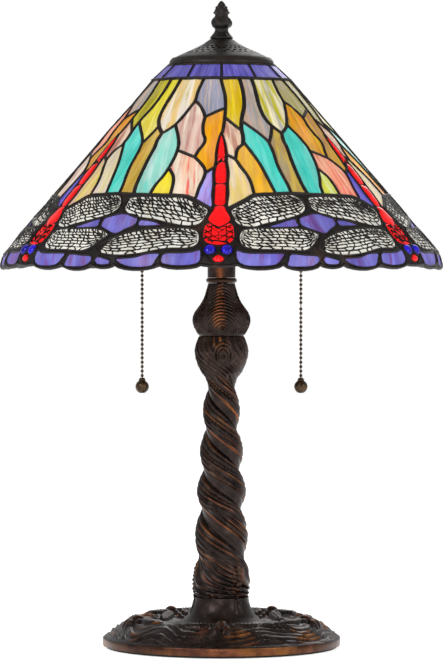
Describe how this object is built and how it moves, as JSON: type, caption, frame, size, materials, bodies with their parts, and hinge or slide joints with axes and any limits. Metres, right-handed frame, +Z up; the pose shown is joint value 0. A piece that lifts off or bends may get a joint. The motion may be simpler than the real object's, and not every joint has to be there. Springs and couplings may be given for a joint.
{
  "type": "stained glass table lamp",
  "caption": "Table lamp with a leaded stained glass cone shade, dragonfly panels, twisted bronze column, round relief base and pull chains.",
  "frame": {"origin": "centre of the felt under the base, on the surface the lamp stands on", "axes": "+Z up along the column, -Y towards the front, +X towards the right-hand pull chain seen from the front"},
  "size_m": [0.4064, 0.4064, 0.597],
  "materials": {
    "antique_bronze": "dark antique bronze patina with copper highlights",
    "dark_brass": "oxidised brass",
    "steel": "zinc plated",
    "iron": "rough cast",
    "lead_came": "dark patinated solder line",
    "black_phenolic": "moulded",
    "felt": "felt",
    "black_rubber": "matte",
    "bulb_glass": "frosted",
    "crown_glass": "opalescent blue violet",
    "field_glass": "streaky opalescent amber, yellow, cream and teal",
    "wing_glass": "opalescent white under metal filigree",
    "skirt_glass": "opalescent periwinkle"
  },
  "bodies": {
    "stand": {"felt_pad": "felt", "base_casting": "antique_bronze", "base_weight": "iron", "lock_washer": "steel", "base_nut": "steel", "center_rod": "steel", "column_casting": "antique_bronze", "neck_casting": "antique_bronze", "collar_ring": "antique_bronze", "neck_tube": "antique_bronze", "cluster_body": "dark_brass", "riser_nut": "dark_brass", "riser_rod": "steel", "seat_nut": "dark_brass", "cord_bushing": "black_rubber", "socket_arm_left": "dark_brass", "socket_cap_left": "dark_brass", "socket_shell_left": "dark_brass", "socket_interior_left": "black_phenolic", "chain_guide_left": "dark_brass", "socket_arm_right": "dark_brass", "socket_cap_right": "dark_brass", "socket_shell_right": "dark_brass", "socket_interior_right": "black_phenolic", "chain_guide_right": "dark_brass"},
    "shade": {"aperture_ring": "dark_brass", "shade_wheel": "dark_brass", "crown_glass": "crown_glass", "skirt_glass": "skirt_glass", "rim_came": "lead_came", "lead_frame": "lead_came", "heat_cap": "antique_bronze", "field_glass_1": "field_glass", "field_glass_2": "field_glass", "field_glass_3": "field_glass", "field_glass_4": "field_glass", "field_glass_5": "field_glass", "field_glass_6": "field_glass", "dragonfly_glass_1": "wing_glass", "dragonfly_glass_2": "wing_glass", "dragonfly_glass_3": "wing_glass", "dragonfly_glass_4": "wing_glass", "dragonfly_glass_5": "wing_glass", "dragonfly_glass_6": "wing_glass"},
    "finial": {"finial": "antique_bronze", "finial_insert": "dark_brass"},
    "bulb_left": {"bulb_base_left": "steel", "bulb_globe_left": "bulb_glass"},
    "pull_left": {"pull_link_left": "dark_brass"},
    "chain_left": {"pull_chain_left": "dark_brass"},
    "ball_left": {"lower_chain_left": "dark_brass", "pull_ball_left": "dark_brass"},
    "bulb_right": {"bulb_base_right": "steel", "bulb_globe_right": "bulb_glass"},
    "pull_right": {"pull_link_right": "dark_brass"},
    "chain_right": {"pull_chain_right": "dark_brass"},
    "ball_right": {"lower_chain_right": "dark_brass", "pull_ball_right": "dark_brass"}
  },
  "joints": [
    {"name": "shade_lift", "type": "slide", "parent": "stand", "child": "shade", "axis": [0, 0, 1], "range_m": [0, 0.24]},
    {"name": "finial_turn", "type": "hinge", "parent": "shade", "child": "finial", "pos_m": [0, 0, 0.58], "axis": [0, 0, 1], "continuous": true},
    {"name": "bulb_turn_left", "type": "hinge", "parent": "stand", "child": "bulb_left", "pos_m": [-0.048, 0, 0.45], "axis": [0, 0, 1], "continuous": true},
    {"name": "pull_left", "type": "slide", "parent": "stand", "child": "pull_left", "axis": [0, 0, -1], "range_m": [0, 0.008], "stiffness_N_per_m": 120, "springref_m": -0.004},
    {"name": "chain_swing_left", "type": "hinge", "parent": "pull_left", "child": "chain_left", "pos_m": [-0.0734, 0, 0.384], "axis": [0, 1, 0], "range_deg": [-18, 45]},
    {"name": "chain_sway_left", "type": "hinge", "parent": "chain_left", "child": "ball_left", "pos_m": [-0.0734, 0, 0.316], "axis": [1, 0, 0], "range_deg": [-60, 60]},
    {"name": "bulb_turn_right", "type": "hinge", "parent": "stand", "child": "bulb_right", "pos_m": [0.048, 0, 0.45], "axis": [0, 0, 1], "continuous": true},
    {"name": "pull_right", "type": "slide", "parent": "stand", "child": "pull_right", "axis": [0, 0, -1], "range_m": [0, 0.008], "stiffness_N_per_m": 120, "springref_m": -0.004},
    {"name": "chain_swing_right", "type": "hinge", "parent": "pull_right", "child": "chain_right", "pos_m": [0.0734, 0, 0.384], "axis": [0, -1, 0], "range_deg": [-18, 45]},
    {"name": "chain_sway_right", "type": "hinge", "parent": "chain_right", "child": "ball_right", "pos_m": [0.0734, 0, 0.316], "axis": [1, 0, 0], "range_deg": [-60, 60]}
  ]
}
